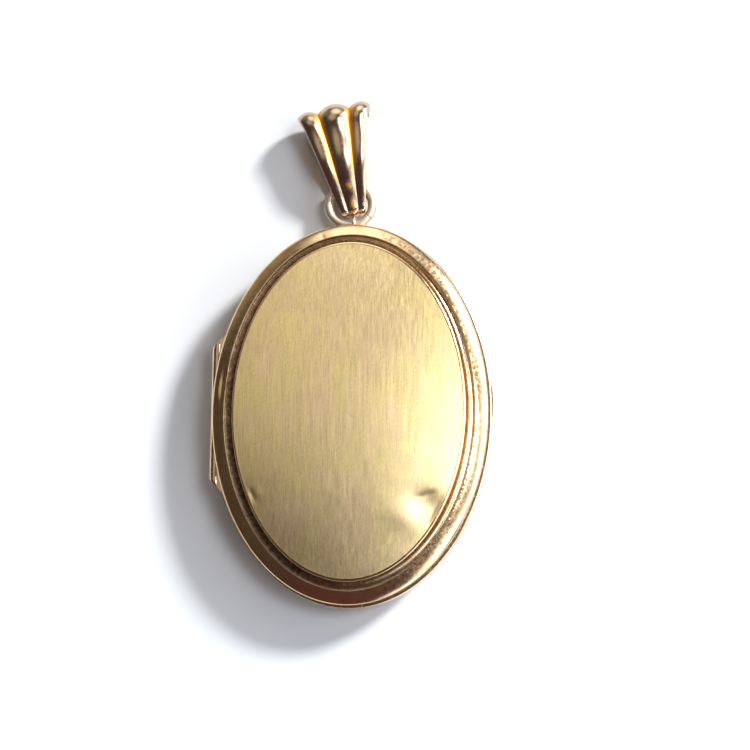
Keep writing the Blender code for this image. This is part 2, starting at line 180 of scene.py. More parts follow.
def hump(value, centre, width):
    """A Gaussian of height 1 at a centre."""
    return np.exp(-(((value - centre) / width) ** 2))


def bump_at(x, y, place, size, angle=0.0):
    """A Gaussian of height 1 at a place, size along and across the angle."""
    dx, dy = x - place[0], y - place[1]
    c, s = math.cos(angle), math.sin(angle)
    along, across = dx * c + dy * s, -dx * s + dy * c
    return np.exp(-((along / size[0]) ** 2) - (across / size[1]) ** 2)


# ------------------------------------------------------------ materials
def new_material(name):
    material = bpy.data.materials.new(name)
    material.use_nodes = True
    return material, material.node_tree, material.node_tree.nodes["Principled BSDF"]


def add(tree, kind, **settings):
    node = tree.nodes.new(kind)
    for key, value in settings.items():
        setattr(node, key, value)
    return node


def millimetres(tree, stretch=(1, 1, 1), turn=0.0):
    """Object coordinates in millimetres, stretched per axis."""
    place = add(tree, "ShaderNodeTexCoord")
    mapping = add(tree, "ShaderNodeMapping")
    mapping.inputs["Scale"].default_value = [s / MM for s in stretch]
    mapping.inputs["Rotation"].default_value = (0, 0, turn)
    tree.links.new(place.outputs["Object"], mapping.inputs["Vector"])
    return mapping.outputs["Vector"]


def noise(tree, vector, scale, detail=3.0, rough=0.5, distortion=0.0):
    node = add(tree, "ShaderNodeTexNoise")
    node.inputs["Scale"].default_value = scale
    node.inputs["Detail"].default_value = detail
    node.inputs["Roughness"].default_value = rough
    node.inputs["Distortion"].default_value = distortion
    tree.links.new(vector, node.inputs["Vector"])
    return node.outputs["Fac"]


def ranged(tree, value, from_low, from_high, to_low, to_high):
    """A value eased from one range to another, and held at its ends."""
    node = add(tree, "ShaderNodeMapRange", interpolation_type="SMOOTHSTEP")
    for key, number in (
        ("From Min", from_low),
        ("From Max", from_high),
        ("To Min", to_low),
        ("To Max", to_high),
    ):
        node.inputs[key].default_value = number
    tree.links.new(value, node.inputs["Value"])
    return node.outputs["Result"]


def math_node(tree, operation, first, second):
    node = add(tree, "ShaderNodeMath", operation=operation)
    for socket, value in zip(node.inputs, (first, second)):
        if isinstance(value, (int, float)):
            socket.default_value = value
        else:
            tree.links.new(value, socket)
    return node.outputs["Value"]


def mixed(tree, factor, first, second):
    node = add(tree, "ShaderNodeMix", data_type="RGBA")
    tree.links.new(factor, node.inputs["Factor"])
    for socket, value in ((node.inputs[6], first), (node.inputs[7], second)):
        if isinstance(value, tuple):
            socket.default_value = (*value, 1)
        else:
            tree.links.new(value, socket)
    return node.outputs[2]


def bumped(tree, height, distance_mm, below=None):
    node = add(tree, "ShaderNodeBump")
    node.inputs["Strength"].default_value = 1.0
    node.inputs["Distance"].default_value = distance_mm * MM
    tree.links.new(height, node.inputs["Height"])
    if below is not None:
        tree.links.new(below, node.inputs["Normal"])
    return node.outputs["Normal"]


def attribute(tree, name):
    return add(tree, "ShaderNodeAttribute", attribute_name=name).outputs["Fac"]


# Dark brown: old tarnish in the border's hollows, and painted shade that is heaviest away from the light.
GRIME_AND_SHADE = (0.19, 0.13, 0.10)
NICK_DIRT = (0.16, 0.10, 0.075)
# Amber painted into the bail's grooves and at its tip: a painted reflection of the gold in itself.
AMBER_REFLECTION = (0.78, 0.42, 0.08)


def polished_gold(name, light, dark, roughness, haze=0.10, worn=False, groove=False):
    """Polished rolled gold: hazy handling marks, faint ripples and fine scratches.

    Worn gold has dark tarnish with painted shade and nicks where the mesh says, and grooved gold has a
    painted amber reflection where the mesh says.
    """
    material, tree, shader = new_material(name)
    plain = millimetres(tree)
    shader.inputs["Metallic"].default_value = 1.0
    wear = noise(tree, plain, 0.55, 4, 0.6, 0.6)
    fine = noise(tree, plain, 3.5, 4, 0.65)
    patches = ranged(tree, wear, 0.35, 0.68, 0, 1)
    colour = mixed(tree, patches, light, dark)
    haze_map = ranged(tree, fine, 0.40, 0.72, roughness, roughness + haze)
    extra = ranged(tree, wear, 0.50, 0.75, 0, haze * 0.35)
    rough = math_node(tree, "ADD", haze_map, extra)
    if worn:
        # Tarnish in the cove and at the crest's edge, with painted shade that grows away from the lit
        # upper right.
        grime_and_shade = ranged(tree, noise(tree, plain, 2.6, 4, 0.7), 0.30, 0.62, 0.55, 1.0)
        grime_and_shade = math_node(tree, "MULTIPLY", grime_and_shade, attribute(tree, "patina_and_shade"))
        nicks = ranged(tree, noise(tree, plain, 2.3, 2, 0.6, 0.4), 0.47, 0.54, 0, 1)
        nicks = math_node(tree, "MULTIPLY", nicks, attribute(tree, "ticks"))
        colour = mixed(tree, grime_and_shade, colour, GRIME_AND_SHADE)
        colour = mixed(tree, nicks, colour, NICK_DIRT)
        dirt_and_shade = math_node(tree, "MAXIMUM", grime_and_shade, nicks)
        rough = math_node(tree, "ADD", rough, math_node(tree, "MULTIPLY", dirt_and_shade, 0.20))
    if groove:
        # Painted reflection: amber where the mesh's map says, in the bail's grooves and at its tip.
        deep = attribute(tree, "groove")
        colour = mixed(tree, deep, colour, AMBER_REFLECTION)
        rough = math_node(tree, "ADD", rough, math_node(tree, "MULTIPLY", deep, 0.30))
    tree.links.new(colour, shader.inputs["Base Color"])
    tree.links.new(rough, shader.inputs["Roughness"])
    scratches = noise(tree, millimetres(tree, (14, 0.9, 14), 0.5), 1.0, 2, 0.6)
    first = bumped(tree, scratches, 0.0006)
    shape = noise(tree, plain, 1.1, 3, 0.55)
    tree.links.new(bumped(tree, shape, 0.008, first), shader.inputs["Normal"])
    return material


def satin_gold(name):
    """Brushed panel: lines along the oval, rose and straw streaks, worn patches."""
    material, tree, shader = new_material(name)
    shader.inputs["Metallic"].default_value = 1.0
    plain = millimetres(tree)
    lines = noise(tree, millimetres(tree, (9.0, 0.20, 9.0)), 1.0, 3, 0.6)
    broad = noise(tree, millimetres(tree, (1.5, 0.16, 1.5)), 1.0, 3, 0.55, 0.3)
    patch = noise(tree, plain, 0.16, 4, 0.6, 0.8)
    mottle = noise(tree, plain, 2.2, 4, 0.7)
    straw, rose, deep = (1.0, 0.84, 0.37), (1.0, 0.77, 0.46), (0.88, 0.68, 0.38)
    hue = noise(tree, millimetres(tree, (0.30, 0.17, 0.30)), 1.0, 3, 0.55, 0.6)
    fine = math_node(tree, "MULTIPLY", lines, 0.35)
    blend = math_node(tree, "ADD", fine, math_node(tree, "MULTIPLY", broad, 0.45))
    streak = ranged(tree, math_node(tree, "ADD", hue, blend), 0.72, 1.08, 0, 1)
    base = mixed(tree, streak, straw, rose)
    worn = ranged(tree, patch, 0.47, 0.66, 0, 0.55)
    base = mixed(tree, worn, base, deep)
    hairs = noise(tree, millimetres(tree, (13, 0.22, 13)), 1.0, 3, 0.7)
    grain = noise(tree, millimetres(tree, (9.0, 5.0, 9.0)), 1.0, 3, 0.75)
    brushed = math_node(tree, "MULTIPLY", hairs, 0.60)
    tone = math_node(tree, "ADD", brushed, math_node(tree, "MULTIPLY", grain, 0.40))
    base = mixed(tree, ranged(tree, tone, 0.39, 0.64, 0.02, 0.78), base, (0.68, 0.51, 0.28))
    tree.links.new(base, shader.inputs["Base Color"])
    rough = ranged(tree, lines, 0.30, 0.70, 0.30, 0.37)
    rough_more = ranged(tree, mottle, 0.40, 0.70, -0.005, 0.012)
    tree.links.new(math_node(tree, "ADD", rough, rough_more), shader.inputs["Roughness"])
    shader.inputs["Anisotropic"].default_value = 0.65
    shader.inputs["Anisotropic Rotation"].default_value = 0.25
    tangent = add(tree, "ShaderNodeTangent", direction_type="RADIAL", axis="X")
    tree.links.new(tangent.outputs["Tangent"], shader.inputs["Tangent"])
    tree.links.new(bumped(tree, hairs, 0.0007), shader.inputs["Normal"])
    return material


def crystal_material():
    """Clear glass whose reflection grows towards a grazing view, the same on both its faces."""
    material, tree, shader = new_material("watch_crystal")
    tree.nodes.remove(shader)
    out = tree.nodes["Material Output"]
    clear = add(tree, "ShaderNodeBsdfTransparent")
    clear.inputs["Color"].default_value = (0.95, 0.975, 0.965, 1)
    gloss = add(tree, "ShaderNodeBsdfGlossy")
    gloss.inputs["Color"].default_value = (0.95, 0.95, 0.95, 1)
    smudges = noise(tree, millimetres(tree), 0.7, 4, 0.6, 0.5)
    rough = ranged(tree, smudges, 0.45, 0.70, 0.02, 0.07)
    tree.links.new(rough, gloss.inputs["Roughness"])
    weight = add(tree, "ShaderNodeLayerWeight")
    weight.inputs["Blend"].default_value = 0.5
    grazing = math_node(tree, "POWER", weight.outputs["Facing"], 5.0)
    mix = add(tree, "ShaderNodeMixShader")
    tree.links.new(ranged(tree, grazing, 0, 1, 0.04, 1.0), mix.inputs["Fac"])
    tree.links.new(clear.outputs["BSDF"], mix.inputs[1])
    tree.links.new(gloss.outputs["BSDF"], mix.inputs[2])
    tree.links.new(mix.outputs["Shader"], out.inputs["Surface"])
    return material


def card_material():
    """Blank picture card, foxed with age."""
    material, tree, shader = new_material("aged_card")
    plain = millimetres(tree)
    spots = ranged(tree, noise(tree, plain, 0.9, 3, 0.7, 0.4), 0.62, 0.72, 0, 0.8)
    tone = ranged(tree, noise(tree, plain, 0.12, 4, 0.6), 0.35, 0.70, 0, 1)
    base = mixed(tree, tone, (0.78, 0.71, 0.58), (0.62, 0.53, 0.39))
    tree.links.new(mixed(tree, spots, base, (0.42, 0.30, 0.17)), shader.inputs["Base Color"])
    shader.inputs["Roughness"].default_value = 0.85
    fibres = noise(tree, plain, 9, 4, 0.7)
    tree.links.new(bumped(tree, fibres, 0.006), shader.inputs["Normal"])
    return material


PANEL_GOLD = satin_gold("satin_gold")
COVER_GOLD = polished_gold(
    "cover_gold_polish", (0.90, 0.70, 0.41), (0.81, 0.53, 0.30), 0.15, worn=True
)
RIM_GOLD = polished_gold("rim_gold_polish", (0.86, 0.66, 0.46), (0.74, 0.53, 0.36), 0.18)
FRAME_GOLD = polished_gold("frame_gilding", (0.80, 0.58, 0.28), (0.62, 0.43, 0.20), 0.24)
RING_GOLD = polished_gold("ring_gold_wire", (0.64, 0.56, 0.46), (0.56, 0.47, 0.37), 0.42)
# The bail's amber grooves and tip marks are painted reflections.
BAIL_GOLD = polished_gold(
    "bail_gold_polish", (0.72, 0.55, 0.39), (0.58, 0.43, 0.31), 0.19, 0.07, groove=True
)
WIRE = polished_gold("hinge_wire_metal", (0.60, 0.50, 0.36), (0.42, 0.33, 0.22), 0.32)
CRYSTAL = crystal_material()
CARD = card_material()


# ------------------------------------------------------------ ovals
def oval_xy(oval, inset, turns):
    """Points a set distance inside an oval, measured square to its edge."""
    half_width, half_length, centre_x, centre_y = oval
    x, y = half_width * np.cos(turns), half_length * np.sin(turns)
    nx, ny = half_length * np.cos(turns), half_width * np.sin(turns)
    length = np.hypot(nx, ny)
    return centre_x + x - inset * nx / length, centre_y + y - inset * ny / length


def arc(centre, radii, start_deg, end_deg, steps):
    angles = np.radians(np.linspace(start_deg, end_deg, steps + 1))
    x, y = centre[0] + radii[0] * np.cos(angles), centre[1] + radii[1] * np.sin(angles)
    return list(zip(x.tolist(), y.tolist()))


def oval_row(turns, inset, side, depth, shrink=1.0):
    """One row of points round the body's oval, at a depth from the parting line."""
    x, y = oval_xy(BODY_OVAL, inset, turns)
    return np.stack([x * shrink, y * shrink, np.full(len(turns), PARTING_Z + side * depth)], axis=1)


def swept_ring(section, side):
    """Points of a closed (inset, depth) section carried round the oval."""
    turns = full_turn(ROUND)
    rows = [oval_row(turns, inset, side, depth) for inset, depth in section]
    return np.array(rows), grid_faces(len(section), ROUND, True, True)


def rounded_section(corners, radius, steps=4):
    """A closed polygon of (inset, depth) corners with each corner rounded."""
    points = []
    count = len(corners)
    for i, corner in enumerate(corners):
        here = Vector(corner)
        before = Vector(corners[i - 1]) - here
        after = Vector(corners[(i + 1) % count]) - here
        reach = min(radius, 0.45 * before.length, 0.45 * after.length)
        start = here + before.normalized() * reach
        end = here + after.normalized() * reach
        for k in range(steps + 1):
            t = k / steps
            point = start * (1 - t) ** 2 + here * 2 * t * (1 - t) + end * t * t
            points.append((point.x, point.y))
    return points


def make_ring_piece(name, section, side, material, body, node):
    points, faces = swept_ring(section, side)
    obj = make_mesh(name, points, faces, material, body, node)
    recalculate(obj)
    sharpen(obj, 50)


# ------------------------------------------------------------ cover shells
def border_profile():
    """(inset, depth) from the foot of the wall to the panel's edge."""
    profile = [(0.0, RIM_DEPTH + 0.02), (0.0, 0.75), (0.0, 0.95)]
    for u in np.linspace(0, 1, 30):
        profile.append((BEAD_WIDTH * u**2.4, WALL_TOP + BEAD_HEIGHT * u ** (2.4 * 0.62)))
    profile += [(1.195, WALL_TOP + BEAD_HEIGHT - 0.015), (1.21, WALL_TOP + BEAD_HEIGHT - 0.06)]
    profile += [(1.225, WALL_TOP + COVE_FLOOR + 0.06), (1.235, WALL_TOP + COVE_FLOOR + 0.015)]
    cove_top = WALL_TOP + COVE_FLOOR + COVE_HEIGHT
    profile += arc((COVE_INSET, cove_top), (COVE_WIDTH, COVE_HEIGHT), 270, 350, 16)
    step = (PANEL_INSET, PARTING_Z - STEP_HEIGHT)
    profile += arc(step, (STEP_WIDTH, STEP_HEIGHT), 180, 90, 9)
    return profile


# Where the two nicked stretches of the border start, in degrees round the oval.
NICKS_FROM = 290
UPPER_NICKS_FROM = 40


def border_marks(inset, turns, side):
    """Depth added to the border by wear: ripples, nicks and dents."""
    marks = np.zeros_like(turns)
    if side < 0:
        return marks
    degrees = np.degrees(turns)
    on_bead = hump(inset, 0.85, 0.30)
    inner_bead = hump(inset, 1.12, 0.13)
    along = turns * (HALF_WIDTH + HALF_LENGTH) / 2
    window = smoothstep(44, 50, degrees) * (1 - smoothstep(70, 77, degrees))
    wobble = np.sin(along * 13 + 2 * np.sin(along * 3.1)) + 0.7 * np.sin(along * 21 + inset * 14)
    marks += 0.0055 * on_bead * window * wobble
    late = (degrees - NICKS_FROM) % 360
    window = smoothstep(0, 8, late) * (1 - smoothstep(62, 72, late))
    wobble = np.sin(along * 17 + np.sin(along * 2.3)) + 0.4 * np.sin(along * 29)
    marks += 0.010 * inner_bead * window * wobble
    marks -= on_bead * (0.10 * hump(degrees, 172, 5.5) + 0.02 * hump(degrees, 103.5, 0.9))
    sway = np.sin(turns * 9 + 1.3) + 0.6 * np.sin(turns * 23 + 0.4) + 0.4 * np.sin(turns * 41)
    return marks + 0.004 * on_bead * sway


def patina_and_shade_at(inset, turns):
    """How much tarnish and painted shade the border has: in the cove and along the crest's inner edge,
    least at the upper right, towards the light.
    """
    crest = hump(inset, 1.205, 0.03)
    cove = smoothstep(1.18, 1.26, inset) * (1 - smoothstep(1.86, 2.06, inset))
    toward_light = 0.5 + 0.5 * np.cos(turns - math.radians(25))
    in_cove = cove * np.clip(1.15 - 1.3 * toward_light, 0, 1)
    return np.clip(crest * (0.95 - 0.25 * toward_light) + in_cove, 0, 1)


def ticks_at(inset, turns, side):
    """Where the crest is nicked: the lower right, and faintly the upper right."""
    late = (np.degrees(turns) - NICKS_FROM) % 360
    lower = smoothstep(2, 12, late) * (1 - smoothstep(60, 74, late))
    early = (np.degrees(turns) - UPPER_NICKS_FROM) % 360
    upper = smoothstep(0, 8, early) * (1 - smoothstep(30, 40, early))
    near = hump(inset, 1.04, 0.13) + 0.8 * hump(inset, 0.62, 0.08)
    wide = hump(inset, 0.75, 0.30)
    return (near * lower + 0.75 * wide * upper) * (side > 0)


PANEL_RINGS = 96


def panel_height(x, y, share, side):
    """Height of the panel over its edge, at a share of the way out from its centre."""
    if side < 0:
        return 0.004 * np.sin(x * 0.9 + 0.4) * np.sin(y * 0.7)
    height = PANEL_DOME * (1 - share**2)
    inside = 1 - smoothstep(0.97, 1.0, share)
    # A dent near the lower right edge, with a pinched crease along its top.
    height = height - 0.13 * bump_at(x, y, (7.15, -8.75), (1.25, 1.75), math.radians(62)) * inside
    height = height + 0.055 * bump_at(x, y, (5.1, -9.6), (1.3, 2.2), math.radians(70)) * inside
    height = height - 0.025 * bump_at(x, y, (6.85, -7.75), (0.85, 0.24), math.radians(20)) * inside
    height = height + 0.022 * bump_at(x, y, (7.6, -6.9), (1.3, 0.55), math.radians(25)) * inside
    # A nick at the lower left edge and a small press mark by the centre.
    height = height - 0.06 * bump_at(x, y, (-8.45, -7.75), (0.34, 0.55), math.radians(20)) * inside
    height = height + 0.02 * bump_at(x, y, (-7.8, -7.6), (0.40, 0.50)) * inside
    crescent = bump_at(x, y, (0.12, -0.72), (0.50, 0.13), math.radians(-35))
    height = height - 0.012 * crescent + 0.010 * bump_at(x, y, (-0.05, -0.35), (0.55, 0.40))
    # Slow undulation of old thin sheet.
    sway = 0.5 * np.sin(x * 0.55 + 0.8) * np.sin(y * 0.42 + 0.5) + 0.3 * np.sin(x * 1.1 - y * 0.6)
    return height + 0.006 * sway * inside


# Scratches on the front panel: points, width and depth. A depth below 0 is a raised edge.
SCRATCHES = (
    (((-9.17, -3.77), (-7.98, -3.18), (-7.17, -2.90), (-5.96, -2.47)), 0.050, 0.010),
    (((-5.29, 10.73), (-4.31, 11.46), (-3.06, 11.82), (-2.25, 11.90)), 0.055, 0.003),
    (((4.84, -12.66), (5.24, -13.19)), 0.06, -0.010),
    (((-3.7, -10.6), (-2.9, -9.2), (-2.2, -8.3)), 0.05, 0.002),
    (((6.4, 10.9), (6.9, 10.45)), 0.07, -0.012),
    (((6.9, 10.7), (7.35, 10.1)), 0.06, -0.010),
    (((7.9, 8.1), (8.05, 7.4)), 0.06, -0.006),
    (((8.3, 6.6), (8.35, 6.0)), 0.06, -0.008),
    (((2.6, -2.0), (2.75, -4.1)), 0.05, -0.003),
    (((-1.1, -4.2), (-1.05, -6.2)), 0.05, -0.003),
)


def scratch_depth(x, y):
    """Height added by the scratches, from the distance to each one's nearest segment."""
    depth = np.zeros_like(x)
    for path, width, deep in SCRATCHES:
        nearest = np.full_like(x, 1e9)
        for (ax, ay), (bx, by) in zip(path, path[1:]):
            dx, dy = bx - ax, by - ay
            along = np.clip(((x - ax) * dx + (y - ay) * dy) / (dx * dx + dy * dy), 0, 1)
            nearest = np.minimum(nearest, np.hypot(x - ax - along * dx, y - ay - along * dy))
        depth -= deep * np.exp(-((nearest / width) ** 2))
    return depth


def make_cover(name, side, body, node):
    """A cover: its border, then rings that shrink to the middle of its panel."""
    turns = full_turn(ROUND)
    rows, patina_and_shade, ticks = [], [], []
    for inset, depth in border_profile():
        x, y = oval_xy(BODY_OVAL, inset, turns)
        if depth < FOOT_TOP:
            x = x + FOOT_TUCK * hump(y, 0, FOOT_TUCK_REACH) * (x < 0)
        marks = border_marks(inset, turns, side)
        rows.append(np.stack([x, y, PARTING_Z + side * (depth + marks)], axis=1))
        # Tarnish with painted shade in the border's hollows, least towards the light.
        patina_and_shade.append(patina_and_shade_at(inset, turns))
        ticks.append(ticks_at(inset, turns, side))
    border_rows = len(rows)
    edge_x, edge_y = oval_xy(BODY_OVAL, PANEL_INSET, turns)
    shares = 1 - np.linspace(0, 1, PANEL_RINGS + 1)[1:-1]
    for share in shares:
        x, y = edge_x * share, edge_y * share
        height = panel_height(x, y, share, side)
        if side > 0:
            height = height + scratch_depth(x, y)
        rows.append(np.stack([x, y, PARTING_Z + side * (PARTING_Z + height)], axis=1))
    grid = np.array(rows)
    faces = grid_faces(len(rows), ROUND, False, True)
    centre = np.zeros((1, 3))
    dome = panel_height(np.zeros(1), np.zeros(1), 0.0, side)[0]
    centre[0, 2] = PARTING_Z + side * (PARTING_Z + dome)
    last = (len(rows) - 1) * ROUND
    hub = len(rows) * ROUND
    faces += [[last + i, last + (i + 1) % ROUND, hub] for i in range(ROUND)]
    points = np.concatenate([grid.reshape(-1, 3), centre])
    if side < 0:
        faces = [face[::-1] for face in faces]
    obj = make_mesh(name, points, faces, COVER_GOLD, body, node)
    obj.data.materials.append(PANEL_GOLD)
    for label, values in (("patina_and_shade", patina_and_shade), ("ticks", ticks)):
        amount = np.zeros(len(obj.data.vertices), np.float32)
        amount[: border_rows * ROUND] = np.concatenate(values)
        obj.data.attributes.new(label, "FLOAT", "POINT").data.foreach_set("value", amount)
    first_panel_face = (border_rows - 1) * ROUND
    index = np.zeros(len(obj.data.polygons), np.int32)
    index[first_panel_face:] = 1
    obj.data.polygons.foreach_set("material_index", index)
    sheet = obj.modifiers.new("sheet thickness", "SOLIDIFY")
    sheet.thickness = SHELL_WALL * MM
    sheet.offset = -1


make_cover("front_cover_skin", 1, "front_cover", "front_cover_shell")
make_cover("back_cover_skin", -1, "back_half", "back_cover_shell")


# ------------------------------------------------------------ rims and hinge
def temporary(name, points, faces):
    obj = make_mesh(name, points, faces, RIM_GOLD, None, None)
    recalculate(obj)
    return obj


def apply_boolean(obj, cutter, operation):
    modifier = obj.modifiers.new("cut", "BOOLEAN")
    modifier.object = cutter
    modifier.operation = operation
    modifier.solver = "EXACT"
    graph = bpy.context.evaluated_depsgraph_get()
    mesh = bpy.data.meshes.new_from_object(obj.evaluated_get(graph))
    obj.modifiers.clear()
    obj.data = mesh


def drop(obj):
    bpy.data.objects.remove(obj, do_unlink=True)


def hinge_tube(radius, y_low, y_high, count=64):
    """A cylinder along the hinge axis, as rows of points and quads with caps."""
    angles = full_turn(count)
    rows = []
    for y in (y_low, y_high):
        x = HINGE.x + radius * np.cos(angles)
        z = HINGE.z + radius * np.sin(angles)
        rows.append(np.stack([x, np.full(count, y), z], axis=1))
    faces = grid_faces(2, count, False, True) + end_caps(2, count)
    return np.array(rows), faces


def prism(outline, z_low, z_high):
    count = len(outline)
    points = [(x, y, z) for z in (z_low, z_high) for x, y in outline]
    faces = grid_faces(2, count, False, True) + end_caps(2, count)
    return points, faces


RIM_REACH = 1.6
RIM_INSIDE = 2.50
EDGE_EASE = 0.10
# The hinge shoulder's two edges: distance from the hinge axis and half length.
SHOULDER_OUTER = (-0.30, 6.15)
SHOULDER_INNER = (1.10, 7.55)


def make_rim(name, side, body, node):
    """A flat ring with round edges, with a shoulder and a channel for the hinge barrel."""
    corners = [(0, PARTING_GAP), (0, RIM_DEPTH), (RIM_REACH, RIM_DEPTH), (RIM_REACH, PARTING_GAP)]
    turns = full_turn(ROUND)
    outer_x, outer_y = oval_xy(RIM_OVAL, 0, turns)
    inner_x, inner_y = oval_xy(BODY_OVAL, RIM_INSIDE, turns)
    rows = []
    for inset, depth in rounded_section(corners, EDGE_EASE):
        share = inset / RIM_REACH
        x, y = outer_x + (inner_x - outer_x) * share, outer_y + (inner_y - outer_y) * share
        rows.append(np.stack([x, y, np.full(ROUND, PARTING_Z + side * depth)], axis=1))
    faces = grid_faces(len(rows), ROUND, True, True)
    rim = temporary(name, np.array(rows), faces)
    (outer, outer_half), (inner, inner_half) = SHOULDER_OUTER, SHOULDER_INNER
    outline = [
        (HINGE.x + outer, -outer_half),
        (HINGE.x + inner, -inner_half),
        (HINGE.x + inner, inner_half),
        (HINGE.x + outer, outer_half),
    ]
    near, far = PARTING_Z + side * PARTING_GAP, PARTING_Z + side * RIM_DEPTH
    shoulder = temporary("shoulder", *prism(outline, near, far))
    apply_boolean(rim, shoulder, "UNION")
    channel = temporary("channel", *hinge_tube(BARREL_RADIUS + 0.035, -9, 9))
    apply_boolean(rim, channel, "DIFFERENCE")
    left = [(HINGE.x - 2, -9), (HINGE.x, -9), (HINGE.x, 9), (HINGE.x - 2, 9)]
    relief = temporary("relief", *prism(left, PARTING_Z - 2, PARTING_Z + 2))
    apply_boolean(rim, relief, "DIFFERENCE")
    for cutter in (shoulder, channel, relief):
        drop(cutter)
    dress(rim, RIM_GOLD, body, node)
    rim.data.shade_smooth()
    sharpen(rim, 30)


make_rim("front_rim_skin", 1, "front_cover", "front_rim_plate")
make_rim("back_rim_skin", -1, "back_half", "back_rim_plate")


def make_knuckle(name, y_low, y_high, body, node):
    """Hinge knuckle with eased edges, mitred where it ends the barrel."""
    outer, inner, ease = BARREL_RADIUS, 0.275, 0.05
    slope = 1.15 / (2 * BARREL_RADIUS)
    section = [
        (inner, 0, 0),
        (outer - ease, 0, 0),
        (outer - 0.3 * ease, 0, 0.3 * ease),
        (outer, 0, ease),
    ]
    section += [(outer, k / 10, 0) for k in range(1, 10)]
    section += [
        (outer, 1, -ease),
        (outer - 0.3 * ease, 1, -0.3 * ease),
        (outer - ease, 1, 0),
        (inner, 1, 0),
    ]
    count = 96
    angles = full_turn(count)
    rows = []
    for radius, share, shift in section:
        dx = radius * np.cos(angles)
        low = np.full(count, float(y_low))
        high = np.full(count, float(y_high))
        if y_high > BARREL_REACH:
            high = BARREL_REACH + dx * slope
        if y_low < -BARREL_REACH:
            low = -BARREL_REACH - dx * slope
        y = low + (high - low) * share + shift
        z = HINGE.z + radius * np.sin(angles)
        rows.append(np.stack([HINGE.x + dx, y, z], axis=1))
    faces = grid_faces(len(rows), count, True, True)
    obj = make_mesh(name, np.array(rows), faces, RIM_GOLD, body, node)
    recalculate(obj)
    sharpen(obj, 40)


make_knuckle("knuckle_top_skin", KNUCKLE_SPLIT, 7.0, "back_half", "hinge_knuckle_top")
make_knuckle("knuckle_bottom_skin", -7.0, -KNUCKLE_SPLIT, "back_half", "hinge_knuckle_bottom")
middle_reach = KNUCKLE_SPLIT - KNUCKLE_GAP
make_knuckle(
    "knuckle_middle_skin", -middle_reach, middle_reach, "front_cover", "hinge_knuckle_middle"
)


def make_pin():
    """Hinge wire with slightly domed, hand-filed ends."""
    radius, reach, count = 0.25, 6.35, 32
    angles = full_turn(count)
    # How far each share of the radius stands back from the middle of an end.
    ends = [(0.0, 0.0), (0.45, 0.005), (0.8, 0.03), (0.96, 0.08), (1.0, 0.15)]
    profile = [(r, back - reach) for r, back in ends]
    profile += [(r, reach - back) for r, back in reversed(ends)]
    rows = []
    for share, y in profile:
        r = max(share, 0.001) * radius
        x, z = HINGE.x + r * np.cos(angles), HINGE.z + r * np.sin(angles)
        rows.append(np.stack([x, np.full(count, y), z], axis=1))
    faces = grid_faces(len(rows), count, False, True) + end_caps(len(rows), count)
    obj = make_mesh("hinge_pin_skin", np.array(rows), faces, WIRE, "back_half", "hinge_pin")
    recalculate(obj)
    sharpen(obj, 60)


make_pin()


def make_lip():
    """Thumb lip: a crescent with rounded edges that dies into the rim at its ends."""
    low, high = box_mm("thumb_lip")
    centre_y, half = (low.y + high.y) / 2, (high.y - low.y) / 2
    middle, thick = (low.z + high.z) / 2, (high.z - low.z) / 2
    rim_width, rim_length, rim_x, rim_y = RIM_OVAL
    least = 0.012
    rows = []
    stations = 64
    for k in range(stations + 1):
        share = math.sin(math.pi / 2 * (2 * k / stations - 1))
        y = centre_y + half * share
        turn = math.asin((y - rim_y) / rim_length)
        edge = rim_x + rim_width * math.cos(turn) + 0.02
        crown = max(1 - share * share, 0.0) ** 0.75
        out = edge + least + (high.x - edge - least) * crown
        section = []
        for j in range(13):
            angle = math.radians(-90 + 180 * j / 12)
            reach = (out - edge) * (max(math.cos(angle), 0) ** 0.6)
            section.append((edge + reach, y, middle + thick * math.sin(angle)))
        rows.append(section)
    grid = np.array(rows)
    count = grid.shape[1]
    faces = grid_faces(len(rows), count, False, True) + end_caps(len(rows), count)
    obj = make_mesh("thumb_lip_skin", grid, faces, RIM_GOLD, "front_cover", "thumb_lip")
    recalculate(obj)
    sharpen(obj, 50)


make_lip()


# ------------------------------------------------------------ inside of the locket
def make_inside(side, half, body):
    """The L-section frame of one half, and the glass, card and liner plate under it."""
    corners = [
        (FRAME_INSET, 0.84),
        (FRAME_INSET, 0.06),
        (3.62, 0.06),
        (3.66, 0.24),
        (FRAME_INSET + 0.20, 0.26),
        (FRAME_INSET + 0.20, 0.84),
    ]
    section = rounded_section(corners, 0.07)
    frame_node = f"{half}_picture_frame"
    make_ring_piece(
        f"{half}_frame_skin", section, side, FRAME_GOLD, body, frame_node
    )
    sheets = (
        ("glass", GLASS_INSET, (0.30, 0.56), CRYSTAL, "crystal", 0.04),
        ("picture_card", GLASS_INSET, (0.60, 0.80), CARD, "card", 0.02),
        ("liner_plate", LINER_INSET, (0.87, 1.05), FRAME_GOLD, "frame_gold", 0.03),
    )
    for what, inset, depths, material, slot, ease in sheets:
        node = f"{half}_{what}"
        make_oval_sheet(f"{node}_skin", side, inset, depths, material, body, node, ease)


def make_oval_sheet(name, side, inset, depths, material, body, node, ease):
    """A flat oval plate with eased edges."""
    low, high = depths
    shape = [
        (inset + ease, low),
        (inset + 0.3 * ease, low + 0.3 * ease),
        (inset, low + ease),
        (inset, high - ease),
        (inset + 0.3 * ease, high - 0.3 * ease),
        (inset + ease, high),
    ]
    count = 360
    turns = full_turn(count)
    rings = (0.001, 0.35, 0.7)
    rows = [oval_row(turns, inset + ease, side, low, share) for share in rings]
    rows += [oval_row(turns, at, side, depth) for at, depth in shape]
    rows += [oval_row(turns, inset + ease, side, high, share) for share in reversed(rings)]
    faces = grid_faces(len(rows), count, False, True) + end_caps(len(rows), count)
    obj = make_mesh(name, np.array(rows), faces, material, body, node)
    recalculate(obj)
    sharpen(obj, 40)


make_inside(1, "front", "front_cover")
make_inside(-1, "back", "back_half")


